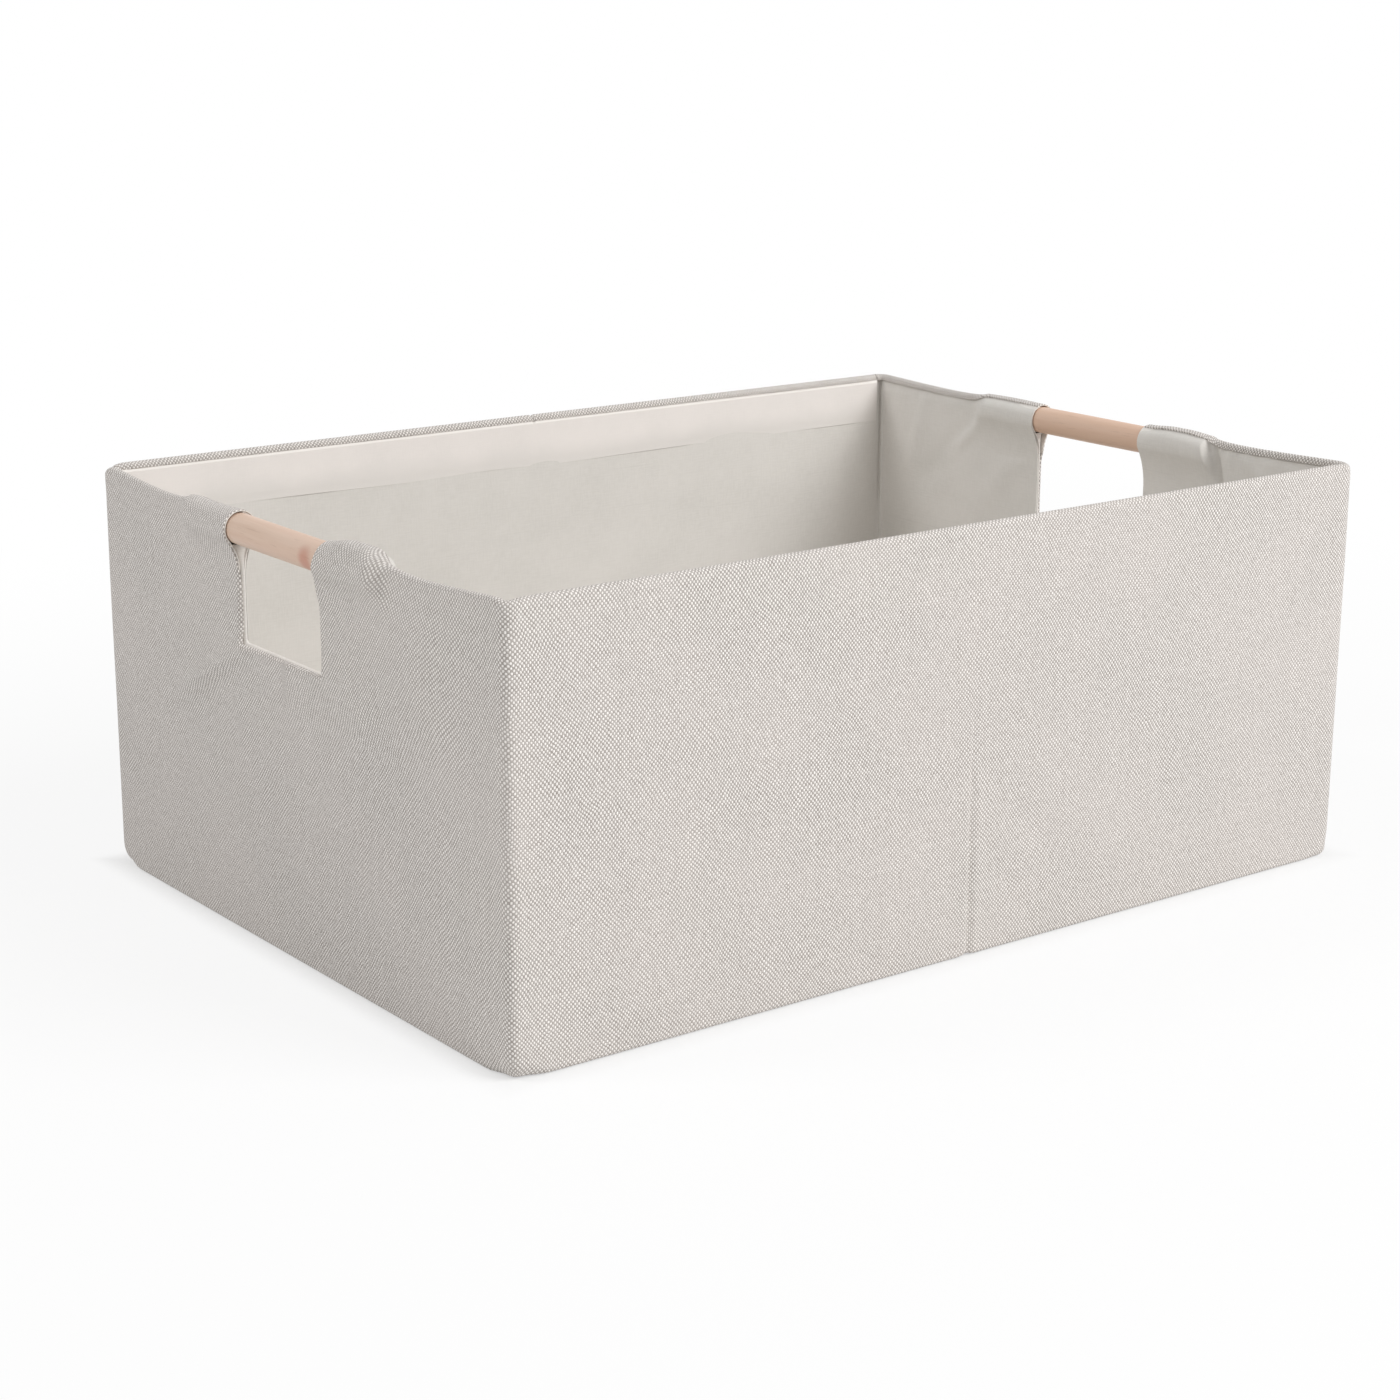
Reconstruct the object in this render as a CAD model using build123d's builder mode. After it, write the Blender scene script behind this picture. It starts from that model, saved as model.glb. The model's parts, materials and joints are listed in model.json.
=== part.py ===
"""Fabric storage bin: a lined cloth box on card stiffeners, with two wooden rod handles.

Millimetres. The floor that the bin stands on is z = 0, +X runs along the long side,
the front wall is at -Y, and the origin is under the middle of the bin.
The long walls are creased across their middle, so that they fold inwards.
"""

import os
from math import atan2, cos, degrees, radians, sin, sqrt

from build123d import *

os.makedirs("parts", exist_ok=True)

# Overall size, over the outer faces of the cloth
length = 420.0
depth = 300.0
height = 170.0
corner_radius = 6.0

# Layers of a wall and of the floor
cover_thick = 1.0
board_thick = 2.0
lining_thick = 0.6
pad_thick = 2.0
floor_edge_radius = 2.4

# Room left for the folding walls
floor_clearance = 0.4
corner_gap = 0.3
crease_gap = 0.6
board_inset = 0.5
layer_clearance = 0.3

# Rim of the long walls: the turned edge and the facing band inside it
rim_radius = 1.2
hem_depth = 22.0
hem_thick = 0.5

# Rod handles and the sleeves that hold them
rod_diameter = 12.0
rod_length = 140.0
rod_chamfer = 0.8
rod_end_play = 0.7
sleeve_bore_clearance = 0.3
sleeve_cap = 1.0
sleeve_fillet = 12.0

# Hand opening under each rod
opening_width = 68.0
opening_drop = 52.0
opening_corner = 3.0
facing_width = 8.0
rim_sag = 2.0

# Places worked out from those sizes
wall_thick = cover_thick + board_thick + lining_thick
floor_top = cover_thick + pad_thick + lining_thick
wall_bottom = floor_top + floor_clearance
layer_bottom = wall_bottom + cover_thick
layer_top = height - cover_thick
end_half = depth / 2 - corner_radius
wall_start = length / 2 - corner_radius - corner_gap
wall_run = wall_start - crease_gap / 2
bore_radius = rod_diameter / 2 + sleeve_bore_clearance
rod_x = length / 2 - wall_thick / 2
rod_z = height - bore_radius - cover_thick
sleeve_end = rod_length / 2 + rod_end_play + sleeve_cap
sleeve_length = sleeve_end - opening_width / 2
opening_bottom = height - opening_drop


def export(piece, name):
    """Label a finished piece and write it as its own file."""
    piece.part.label = name
    export_step(piece.part, f"parts/{name}.step")


def on_circle(centre, radius, angle):
    """Point of a circle at an angle in degrees."""
    return (centre[0] + radius * cos(radians(angle)), centre[1] + radius * sin(radians(angle)))


def sleeve_rise(thick):
    """Height from where a flat layer starts to swing out, up to the rod's axis."""
    reach = sleeve_fillet + bore_radius + thick
    return sqrt(reach**2 - (sleeve_fillet + wall_thick / 2) ** 2)


def sleeve_half(thick, side):
    """Section of one layer round half the rod: a flat, a flare and an arc up to the top.

    The rod's axis is at (0, 0), and side is the sign of X on which the layer lies.
    """
    half_wall = wall_thick / 2
    rise = sleeve_rise(thick)
    flare = degrees(atan2(rise, sleeve_fillet + half_wall))
    hub = (half_wall + sleeve_fillet, -rise)
    inner_flare = sleeve_fillet + thick
    outer = bore_radius + thick
    axis = (0.0, 0.0)
    top_angle = 90.0
    mid_angle = (top_angle - flare) / 2
    flat_angle = 180.0

    def place(point):
        return (side * point[0], point[1])

    with BuildSketch() as section:
        with BuildLine():
            ThreePointArc(
                place(on_circle(hub, sleeve_fillet, flat_angle)),
                place(on_circle(hub, sleeve_fillet, flat_angle - flare / 2)),
                place(on_circle(hub, sleeve_fillet, flat_angle - flare)),
            )
            ThreePointArc(
                place(on_circle(axis, outer, -flare)),
                place(on_circle(axis, outer, mid_angle)),
                place(on_circle(axis, outer, top_angle)),
            )
            Line((0, outer), (0, bore_radius))
            ThreePointArc(
                place(on_circle(axis, bore_radius, top_angle)),
                place(on_circle(axis, bore_radius, mid_angle)),
                place(on_circle(axis, bore_radius, -flare)),
            )
            ThreePointArc(
                place(on_circle(hub, inner_flare, flat_angle - flare)),
                place(on_circle(hub, inner_flare, flat_angle - flare / 2)),
                place(on_circle(hub, inner_flare, flat_angle)),
            )
            Line(place((half_wall - thick, -rise)), place((half_wall, -rise)))
        make_face()
    return section.sketch


def cap_half(side):
    """Half disc that closes one layer's side of a sleeve's outer end."""
    with BuildSketch() as disc:
        with BuildLine():
            ThreePointArc((0, -bore_radius), (side * bore_radius, 0), (0, bore_radius))
            Line((0, bore_radius), (0, -bore_radius))
        make_face()
    return disc.sketch


def end_outline(bottom, top, shoulder):
    """Outline of one end's flat cloth, with its hand opening and sagging rim.

    The sketch's X is the bin's Y, and its Y is the height above the floor.
    The cloth stops at shoulder under the sleeves, and goes up to top elsewhere.
    """
    sag_point = (sleeve_end + end_half) / 2
    half_opening = opening_width / 2
    with BuildSketch() as outline:
        with BuildLine():
            Polyline((-end_half, top), (-end_half, bottom), (end_half, bottom), (end_half, top))
            ThreePointArc((end_half, top), (sag_point, top - rim_sag), (sleeve_end, top))
            Polyline(
                (sleeve_end, top),
                (sleeve_end, shoulder),
                (half_opening, shoulder),
                (half_opening, opening_bottom),
                (-half_opening, opening_bottom),
                (-half_opening, shoulder),
                (-sleeve_end, shoulder),
                (-sleeve_end, top),
            )
            ThreePointArc((-sleeve_end, top), (-sag_point, top - rim_sag), (-end_half, top))
        make_face()
        opening_corners = outline.vertices().filter_by(
            lambda v: abs(v.Y - opening_bottom) < layer_clearance and abs(v.X) < sleeve_end
        )
        fillet(opening_corners, opening_corner)
    return outline.sketch


def rim_strip(side):
    """Turned top edge of an end, between a sleeve and a corner, as it sags."""
    sag_point = (sleeve_end + end_half) / 2
    low = height - cover_thick
    with BuildSketch() as strip:
        with BuildLine():
            ThreePointArc(
                (side * end_half, height),
                (side * sag_point, height - rim_sag),
                (side * sleeve_end, height),
            )
            Line((side * sleeve_end, height), (side * sleeve_end, low))
            ThreePointArc(
                (side * sleeve_end, low),
                (side * sag_point, low - rim_sag),
                (side * end_half, low),
            )
            Line((side * end_half, low), (side * end_half, height))
        make_face()
    return strip.sketch


# Bottom cover: the outer cloth under the floor, with its edge turned up as a shallow tray
with BuildPart() as bottom_cover:
    with BuildSketch():
        RectangleRounded(length, depth, corner_radius)
    extrude(amount=floor_top)
    fillet(bottom_cover.faces().sort_by(Axis.Z)[0].edges(), floor_edge_radius)
    with BuildSketch(Plane.XY.offset(cover_thick)):
        RectangleRounded(length - 2 * cover_thick, depth - 2 * cover_thick, corner_radius - cover_thick)
    extrude(amount=floor_top, mode=Mode.SUBTRACT)
export(bottom_cover, "bottom_cover")

floor_inset = cover_thick + layer_clearance
floor_length = length - 2 * floor_inset
floor_depth = depth - 2 * floor_inset
floor_corner = corner_radius - floor_inset

# Bottom pad: soft felt between the two cloths of the floor
with BuildPart() as bottom_pad:
    with BuildSketch(Plane.XY.offset(cover_thick)):
        RectangleRounded(floor_length, floor_depth, floor_corner)
    extrude(amount=pad_thick)
export(bottom_pad, "bottom_pad")

# Bottom lining: the floor that shows inside
with BuildPart() as bottom_lining:
    with BuildSketch(Plane.XY.offset(cover_thick + pad_thick)):
        RectangleRounded(floor_length, floor_depth, floor_corner)
    extrude(amount=lining_thick)
export(bottom_lining, "bottom_lining")

# The two ends: soft cloth walls with a hand opening under a rod
for end, outward in (("left", -1), ("right", 1)):
    outer_face = Plane.YZ.offset(outward * length / 2)
    board_face = Plane.YZ.offset(outward * (length / 2 - cover_thick))
    lining_face = Plane.YZ.offset(outward * (length / 2 - cover_thick - board_thick))

    # End cover: outer cloth, wrapped round both corners and over the rod
    with BuildPart() as end_cover:
        with BuildSketch(outer_face):
            add(end_outline(wall_bottom, height, rod_z - sleeve_rise(cover_thick)))
        extrude(amount=-outward * cover_thick)
        with BuildSketch(outer_face):
            add(rim_strip(-1))
            add(rim_strip(1))
            with Locations((0, wall_bottom + cover_thick / 2)):
                Rectangle(2 * end_half, cover_thick)
        extrude(amount=-outward * wall_thick)
        with BuildSketch(Plane.XY.offset(wall_bottom)):
            for side in (-1, 1):
                with Locations((outward * (length / 2 - corner_radius), side * end_half)):
                    Circle(corner_radius)
                    Circle(corner_radius - cover_thick, mode=Mode.SUBTRACT)
            with Locations((outward * (length / 2 - corner_radius - length / 2), 0)):
                Rectangle(length, depth, mode=Mode.SUBTRACT)
            Rectangle(length, 2 * end_half, mode=Mode.SUBTRACT)
        extrude(amount=height - wall_bottom)
        for start in (opening_width / 2, -sleeve_end):
            with BuildSketch(Plane.XZ.offset(-start).shift_origin((outward * rod_x, start, rod_z))):
                add(sleeve_half(cover_thick, outward))
            extrude(amount=-sleeve_length)
        for start in (sleeve_end - sleeve_cap, -sleeve_end):
            with BuildSketch(Plane.XZ.offset(-start).shift_origin((outward * rod_x, start, rod_z))):
                add(cap_half(outward))
            extrude(amount=-sleeve_cap)
    export(end_cover, f"{end}_end_cover")

    # End board: card stiffener, kept below the hand opening
    board_height = opening_bottom - facing_width - layer_clearance - layer_bottom
    with BuildPart() as end_board:
        with BuildSketch(board_face):
            with Locations((0, layer_bottom + board_height / 2)):
                Rectangle(2 * (end_half - board_inset), board_height)
        extrude(amount=-outward * board_thick)
    export(end_board, f"{end}_end_board")

    # Opening facing: the turned-in edge of the hand opening, between cover and lining
    facing_top = rod_z - max(sleeve_rise(cover_thick), sleeve_rise(lining_thick))
    facing_bottom = opening_bottom - facing_width
    with BuildPart() as opening_facing:
        with BuildSketch(board_face):
            with Locations((0, (facing_top + facing_bottom) / 2)):
                Rectangle(opening_width + 2 * facing_width, facing_top - facing_bottom)
            with Locations((0, opening_bottom + opening_drop / 2)):
                Rectangle(opening_width, opening_drop, mode=Mode.SUBTRACT)
        extrude(amount=-outward * board_thick)
    export(opening_facing, f"{end}_opening_facing")

    # End lining: inner cloth, with the inner half of each sleeve
    with BuildPart() as end_lining:
        with BuildSketch(lining_face):
            add(end_outline(layer_bottom, layer_top, rod_z - sleeve_rise(lining_thick)))
        extrude(amount=-outward * lining_thick)
        for start in (opening_width / 2, -sleeve_end):
            with BuildSketch(Plane.XZ.offset(-start).shift_origin((outward * rod_x, start, rod_z))):
                add(sleeve_half(lining_thick, -outward))
            extrude(amount=-sleeve_length)
        for start in (sleeve_end - sleeve_cap, -sleeve_end):
            with BuildSketch(Plane.XZ.offset(-start).shift_origin((outward * rod_x, start, rod_z))):
                add(cap_half(-outward))
            extrude(amount=-sleeve_cap)
    export(end_lining, f"{end}_end_lining")

    # Rod: a plain wooden dowel, loose in its two sleeves
    with BuildPart() as rod:
        with BuildSketch(Plane.XZ.offset(-rod_length / 2)):
            with Locations((outward * rod_x, rod_z)):
                Circle(rod_diameter / 2)
        extrude(amount=rod_length)
        chamfer(rod.edges().filter_by(GeomType.CIRCLE), rod_chamfer)
    export(rod, f"{end}_rod")

# The long walls: each is two stiff halves, joined by the cloth at a crease in the middle
for face, toward in (("front", -1), ("back", 1)):
    for end, outward in (("left", -1), ("right", 1)):
        crease_face = Plane.YZ.offset(outward * crease_gap / 2)
        inset_face = Plane.YZ.offset(outward * (crease_gap / 2 + board_inset))
        layer_height = layer_top - layer_bottom

        # Wall cover: outer cloth, turned over the board's top and under its bottom edge
        with BuildPart() as wall_cover:
            with BuildSketch(crease_face) as section:
                with Locations((toward * (depth / 2 - wall_thick / 2), (height + wall_bottom) / 2)):
                    Rectangle(wall_thick, height - wall_bottom)
                fillet(section.vertices().group_by(Axis.Y)[-1], rim_radius)
                pocket_centre = depth / 2 - cover_thick - (wall_thick - cover_thick) / 2
                with Locations((toward * pocket_centre, (layer_top + layer_bottom) / 2)):
                    Rectangle(wall_thick - cover_thick, layer_height, mode=Mode.SUBTRACT)
            extrude(amount=outward * wall_run)
        export(wall_cover, f"{face}_{end}_cover")

        # Wall board: card stiffener of one half wall
        with BuildPart() as wall_board:
            with BuildSketch(inset_face):
                board_centre = depth / 2 - cover_thick - board_thick / 2
                with Locations((toward * board_centre, (layer_top + layer_bottom) / 2)):
                    Rectangle(board_thick, layer_height)
            extrude(amount=outward * (wall_run - 2 * board_inset))
        export(wall_board, f"{face}_{end}_board")

        # Wall lining: inner cloth of one half wall
        with BuildPart() as wall_lining:
            with BuildSketch(crease_face):
                lining_centre = depth / 2 - wall_thick + lining_thick / 2
                with Locations((toward * lining_centre, (layer_top + layer_bottom) / 2)):
                    Rectangle(lining_thick, layer_height)
            extrude(amount=outward * wall_run)
        export(wall_lining, f"{face}_{end}_lining")

        # Wall hem: the facing band sewn along the inside of the rim
        with BuildPart() as wall_hem:
            with BuildSketch(crease_face):
                hem_centre = depth / 2 - wall_thick - hem_thick / 2
                with Locations((toward * hem_centre, layer_top - hem_depth / 2)):
                    Rectangle(hem_thick, hem_depth)
            extrude(amount=outward * wall_run)
        export(wall_hem, f"{face}_{end}_hem")
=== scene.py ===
"""Fabric storage bin: linen-look cloth over card walls, lined inside, with a wooden rod across each end.

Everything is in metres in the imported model's frame: +X along the long side, the front wall at -Y, +Z up.
"""

import json
import math

import bpy
import numpy as np
from mathutils import Matrix, Vector


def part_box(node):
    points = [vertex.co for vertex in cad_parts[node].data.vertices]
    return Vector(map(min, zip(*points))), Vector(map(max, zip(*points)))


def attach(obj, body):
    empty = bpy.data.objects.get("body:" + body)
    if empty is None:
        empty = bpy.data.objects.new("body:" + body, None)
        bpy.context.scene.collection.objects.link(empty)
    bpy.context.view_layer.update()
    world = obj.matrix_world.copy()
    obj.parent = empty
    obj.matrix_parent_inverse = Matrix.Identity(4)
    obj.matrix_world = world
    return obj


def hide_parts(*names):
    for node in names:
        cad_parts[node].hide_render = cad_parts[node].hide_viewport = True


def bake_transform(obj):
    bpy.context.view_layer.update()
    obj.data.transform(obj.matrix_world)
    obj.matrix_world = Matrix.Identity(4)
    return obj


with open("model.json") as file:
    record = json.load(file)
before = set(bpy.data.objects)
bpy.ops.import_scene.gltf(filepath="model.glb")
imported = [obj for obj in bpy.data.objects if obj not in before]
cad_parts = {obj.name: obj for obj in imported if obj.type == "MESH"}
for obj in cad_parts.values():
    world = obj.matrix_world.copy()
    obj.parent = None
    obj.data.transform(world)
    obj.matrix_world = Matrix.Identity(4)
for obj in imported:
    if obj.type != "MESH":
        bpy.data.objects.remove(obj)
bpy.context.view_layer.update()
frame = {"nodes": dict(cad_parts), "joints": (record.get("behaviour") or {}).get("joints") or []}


# Stiffeners: six grey boards, one in each half of the long walls and one low in each end.
# They are cut from pressed paper pulp and lie loose in the pockets between cover and lining,
# so only their finish is given here.
class Wire:
    """One socket of a material. Sums and products of wires become Math nodes."""

    def __init__(self, tree, socket=None):
        self.tree = tree
        self.socket = socket

    def node(self, kind, settings=(), values=(), output=0):
        """A new node: its settings come first, then the values or wires of its sockets."""
        made = self.tree.nodes.new(kind)
        for name, value in dict(settings).items():
            setattr(made, name, value)
        for key, value in dict(values).items():
            if isinstance(value, Wire):
                self.tree.links.new(value.socket, made.inputs[key])
            else:
                made.inputs[key].default_value = value
        return Wire(self.tree, made.outputs[output] if made.outputs else None)

    def output(self, key):
        """Another output of this wire's node."""
        return Wire(self.tree, self.socket.node.outputs[key])

    def math(self, operation, *others):
        """This wire, and any others, through one Math node."""
        values = dict(enumerate((self, *others)))
        return self.node("ShaderNodeMath", {"operation": operation}, values)

    def __add__(self, other):
        return self.math("ADD", other)

    def __mul__(self, other):
        return self.math("MULTIPLY", other)

    def __sub__(self, other):
        return self.math("SUBTRACT", other)

    def __rsub__(self, other):
        return self.node("ShaderNodeMath", {"operation": "SUBTRACT"}, {0: other, 1: self})

    __radd__ = __add__
    __rmul__ = __mul__

    def step(self, low, high):
        """0 below low, 1 above high, and a smooth rise between them."""
        settings = {"interpolation_type": "SMOOTHSTEP"}
        values = {"Value": self, "From Min": low, "From Max": high}
        return self.node("ShaderNodeMapRange", settings, values)

    def mix(self, first, second):
        """From the first colour to the second one, by this wire."""
        return self.node("ShaderNodeMix", {"data_type": "RGBA"}, {0: self, 6: first, 7: second}, 2)

    def noise(self, scale, detail=2.0, roughness=0.5, stretch=(1, 1, 1)):
        """Noise over this vector, in features a metre, drawn out along an axis by a small stretch."""
        spread = self.node("ShaderNodeVectorMath", {"operation": "MULTIPLY"}, {0: self, 1: stretch})
        values = {"Vector": spread, "Scale": scale, "Detail": detail, "Roughness": roughness}
        return self.node("ShaderNodeTexNoise", {"noise_dimensions": "3D"}, values)


def finish(name, paint, **constants):
    """A material: paint links what varies, and the constants go straight onto the shader."""
    material = bpy.data.materials.new(name)
    material.use_nodes = True
    tree = material.node_tree
    shader = tree.nodes["Principled BSDF"]
    for key, value in constants.items():
        shader.inputs[key.replace("_", " ").title().replace("Ior", "IOR")].default_value = value
    for key, wire in paint(Wire(tree)).items():
        tree.links.new(wire.socket, shader.inputs[key])
    return material


def grey_board(wire):
    """Pressed pulp: a soft mottle with short darker fibres."""
    place = wire.node("ShaderNodeTexCoord", output=3)
    fibres = place.noise(900, 3, 0.6, stretch=(0.3, 1, 1)).step(0.52, 0.72)
    mottle = place.noise(60, 4).step(0.3, 0.7)
    pulp = mottle.mix((0.36, 0.33, 0.29, 1), (0.42, 0.385, 0.34, 1))
    bump = wire.node("ShaderNodeBump", (), {"Strength": 0.3, "Distance": 0.0002, "Height": fibres})
    return {"Base Color": (fibres * 0.5).mix(pulp, (0.24, 0.21, 0.18, 1)), "Normal": bump}


card = finish("grey_board", grey_board, roughness=0.9)
for node, solid in frame["nodes"].items():
    if node.endswith("_board"):
        solid.data.materials.clear()
        solid.data.materials.append(card)


# Outer cloth: a coarse oatmeal linen-look plain weave, about 0.8 by 0.9 mm a yarn, sewn as a sleeve round
# all four walls. It is turned under the bottom edge, over the rim, and round the rods at the ends.
# The five lengths here meet where nothing bends.
tray_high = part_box("bottom_cover")[1]
wall_low, wall_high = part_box("front_left_cover")
rod_low, rod_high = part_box("right_rod")
facing_low, facing_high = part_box("right_opening_facing")
hinges = {joint["name"]: Vector(joint["pos_m"]) for joint in frame["joints"]}
half_length, half_depth = tray_high.x, tray_high.y
height = wall_high.z
wall_thick = wall_high.y - wall_low.y
corner_x, corner_y = abs(hinges["wall_fold"].x), abs(hinges["wall_fold"].y)
corner_radius = half_length - corner_x
rod_radius = (rod_high.x - rod_low.x) / 2
rod_inset = half_length - (rod_high.x + rod_low.x) / 2
rod_z = (rod_high.z + rod_low.z) / 2
rod_half = rod_high.y
facing_width = 0.008
opening_half = facing_high.y - facing_width
opening_bottom = facing_low.z + facing_width
MM = 0.001

leg_runs = [2 * corner_y, 2 * corner_x, 2 * corner_y, 2 * corner_x]
leg_reach = [half_length, half_depth, half_length, half_depth]
arc_run = corner_radius * math.pi / 2
leg_starts = [-corner_y + sum(leg_runs[:k]) + k * arc_run for k in range(4)]
girth = sum(leg_runs) + 4 * arc_run


def around(s):
    """Place on the bin's outline, and the way out from it, at a length s along the cloth.

    The cloth is followed from the middle of the left end by the front, the right end and the back.
    """
    s = (np.asarray(s, float) + corner_y) % girth - corner_y
    x, y, out_x, out_y = (np.zeros_like(s) for _ in range(4))
    for k, (start, run, reach) in enumerate(zip(leg_starts, leg_runs, leg_reach)):
        inside = (s >= start) & (s < start + run + arc_run)
        out = np.array([(-1, 0), (0, -1), (1, 0), (0, 1)][k])
        along = np.array([(0, -1), (1, 0), (0, 1), (-1, 0)][k])
        turn = np.clip((s - start - run) / corner_radius, 0, None)
        forward = np.minimum(s - start, run) - run / 2
        normal = out[:, None] * np.cos(turn) + along[:, None] * np.sin(turn)
        place = out[:, None] * (reach - corner_radius) + along[:, None] * forward + corner_radius * normal
        x, y = np.where(inside, place[0], x), np.where(inside, place[1], y)
        out_x, out_y = np.where(inside, normal[0], out_x), np.where(inside, normal[1], out_y)
    return x, y, out_x, out_y


def s_front(x):
    """Distance along the cloth to a place on the front wall."""
    return leg_starts[1] + corner_x + x


def s_right(y):
    """Distance along the cloth to a place on the right end."""
    return leg_starts[2] + corner_y + y


def s_back(x):
    """Distance along the cloth to a place on the back wall."""
    return leg_starts[3] + corner_x - x


def lines(*stops):
    """Grid lines through the stops, (place, step to the next one) in order."""
    found = []
    for (here, step), (there, _) in zip(stops, stops[1:]):
        count = max(1, round(abs(there - here) / step))
        found.extend(np.linspace(here, there, count, endpoint=False))
    return np.array([*found, stops[-1][0]])


def ease(value, low, high):
    """0 before low, 1 after high, and a smooth rise between them."""
    t = np.clip((value - low) / (high - low), 0, 1)
    return t * t * (3 - 2 * t)


def swell(y, z, start, end, width, rise):
    """A soft ridge or hollow along a line on a wall, highest in its middle."""
    run = np.subtract(end, start)
    t = np.clip(((y - start[0]) * run[0] + (z - start[1]) * run[1]) / (run @ run), 0, 1)
    away = np.hypot(y - start[0] - t * run[0], z - start[1] - t * run[1])
    return rise * np.exp(-((away / width) ** 2)) * (0.35 + 0.65 * np.sin(math.pi * t))


def sheet_mesh(name, places, flat, keep=None, thick=0.0):
    """A cloth from a grid of places, with its flat lengths as a UV map.

    Its thickness goes behind the grid's face, or in front of it if it is negative.
    """
    rows, columns = places.shape[:2]
    index = np.arange(rows * columns).reshape(rows, columns)
    quads = np.stack([index[:-1, :-1], index[:-1, 1:], index[1:, 1:], index[1:, :-1]], -1)
    quads = quads[keep] if keep is not None else quads.reshape(-1, 4)
    used, quads = np.unique(quads, return_inverse=True)
    quads = quads.reshape(-1, 4)
    mesh = bpy.data.meshes.new(name)
    mesh.from_pydata(places.reshape(-1, 3)[used].tolist(), [], quads.tolist())
    uv = mesh.uv_layers.new(name="cloth")
    uv.data.foreach_set("uv", flat.reshape(-1, 2)[used][quads.ravel()].astype(np.float32).ravel())
    mesh.polygons.foreach_set("use_smooth", [True] * len(mesh.polygons))
    mesh.update()
    piece = bpy.data.objects.new(name, mesh)
    bpy.context.scene.collection.objects.link(piece)
    if thick:
        layer = piece.modifiers.new("thickness", "SOLIDIFY")
        layer.thickness = abs(thick)
        layer.offset = -np.sign(thick)
        layer.use_even_offset = abs(thick) > 0.4 * MM
        settled(piece)
    return piece


def settled(piece):
    """Applies a piece's modifiers to its mesh."""
    graph = bpy.context.evaluated_depsgraph_get()
    shaped = bpy.data.meshes.new_from_object(piece.evaluated_get(graph))
    piece.modifiers.clear()
    piece.data = shaped
    shaped.set_sharp_from_angle(angle=math.radians(50))
    return piece


cover_thick = 0.7 * MM
pinch_radius = 22 * MM
sleeve_stop = rod_half + 1.5 * MM
rim_radius = wall_thick / 2
rim_turn = 0.8 * MM
rim_proud = (0.3 * MM, 0.75 * MM)
rim_sag = {-1: 2.8 * MM, 1: 1.4 * MM}
rim_starts, rim_ends = 0.74, 0.96
sleeve_lift = {(-1, -1): 2.6 * MM, (-1, 1): -0.4 * MM, (1, -1): 1.0 * MM, (1, 1): 0.3 * MM}
lift_rise = (0.034, 0.050)
lift_fall = {"near left": 0.063, "others": 0.056}
lift_end = 0.0745
slump, slump_at, slump_width = 7.5 * MM, -38 * MM, 24 * MM
crease_fade = (0.030, 0.112)
lip_radius = 2.0 * MM
bottom_round = 2 * MM
turned_under = 5 * MM
underlap_tuck = 0.85 * MM
corner_reach = [5.4 * MM, 3.0 * MM, bottom_round, 5.4 * MM]
corner_rise = [8 * MM, 3.4 * MM, bottom_round, 8.5 * MM]
corner_crisp = [1.1 * MM, 0.6 * MM, 0.0, 0.2 * MM]
corner_droop = [0.8 * MM, 0.4 * MM, 0.0, 2.4 * MM]
droop_width = 4.2 * MM
cover_past_top = math.radians(22)
bottom_rows = np.linspace(0, math.pi / 2, 8)
upper_rows = np.linspace(0, 1, 41)
arc_middles = [start + run + arc_run / 2 for start, run in zip(leg_starts, leg_runs)]


def pinch(radius, flare_radius=pinch_radius):
    """Where a cloth starts to swing out round the rod: its height below the rod's axis, and its turn."""
    rise = math.sqrt((flare_radius + radius) ** 2 - (flare_radius + rod_inset) ** 2)
    return rise, math.atan2(rise, flare_radius + rod_inset)


def round_rod(u, radius, past_top, flare_radius=pinch_radius):
    """A cloth's section round the rod, as distances out from its flat and heights: a flare, then an arc."""
    rise, turn = pinch(np.max(radius), flare_radius)
    split = flare_radius / (flare_radius + np.max(radius) * (turn + math.pi / 2 + past_top) / turn)
    flare = np.clip(u / split, 0, 1) * turn
    swing = -turn + np.clip((u - split) / (1 - split), 0, 1) * (turn + math.pi / 2 + past_top)
    on_flare = u < split
    out = np.where(on_flare, flare_radius * (1 - np.cos(flare)), radius * np.cos(swing) - rod_inset)
    up = np.where(on_flare, flare_radius * np.sin(flare) - rise, radius * np.sin(swing))
    return out, rod_z + up


cover_radius = rod_radius + 1.3 * MM
shoulder = rod_z - pinch(cover_radius)[0]


def over_rim(u, width):
    """The cover's section over a plain rim: up, over the top, and a little way down inside."""
    turn = np.clip((u - rim_starts) / (rim_ends - rim_starts), 0, 1) * math.pi
    up = np.clip(u / rim_starts, 0, 1) * (height - rim_radius - shoulder)
    down = np.clip((u - rim_ends) / (1 - rim_ends), 0, 1) * rim_turn
    return width / 2 * (np.cos(turn) - 1), shoulder + up + rim_radius * np.sin(turn) - down


def sleeved(x, y, steep_side=-1, steep=(4 * MM, 5 * MM)):
    """1 along the rod sleeves, 0 past them, falling faster at the near end of one side."""
    quick = (steep_side * x > 0) & (y < 0)
    before, after = np.where(quick, steep[0], 5 * MM), np.where(quick, steep[1], 9 * MM)
    return 1 - ease(np.abs(y), sleeve_stop - before, sleeve_stop + after)


def sagged(x, y, z):
    """How far the soft top of an end hangs down between a sleeve and a corner, most beside the sleeve."""
    share = np.clip((np.abs(y) - sleeve_stop) / (corner_y - sleeve_stop), 0, 1)
    depth = np.where(x < 0, rim_sag[-1], rim_sag[1])
    return depth * np.sin(math.pi * share ** 0.55) * ease(z, opening_bottom, height - 5 * MM)


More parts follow.
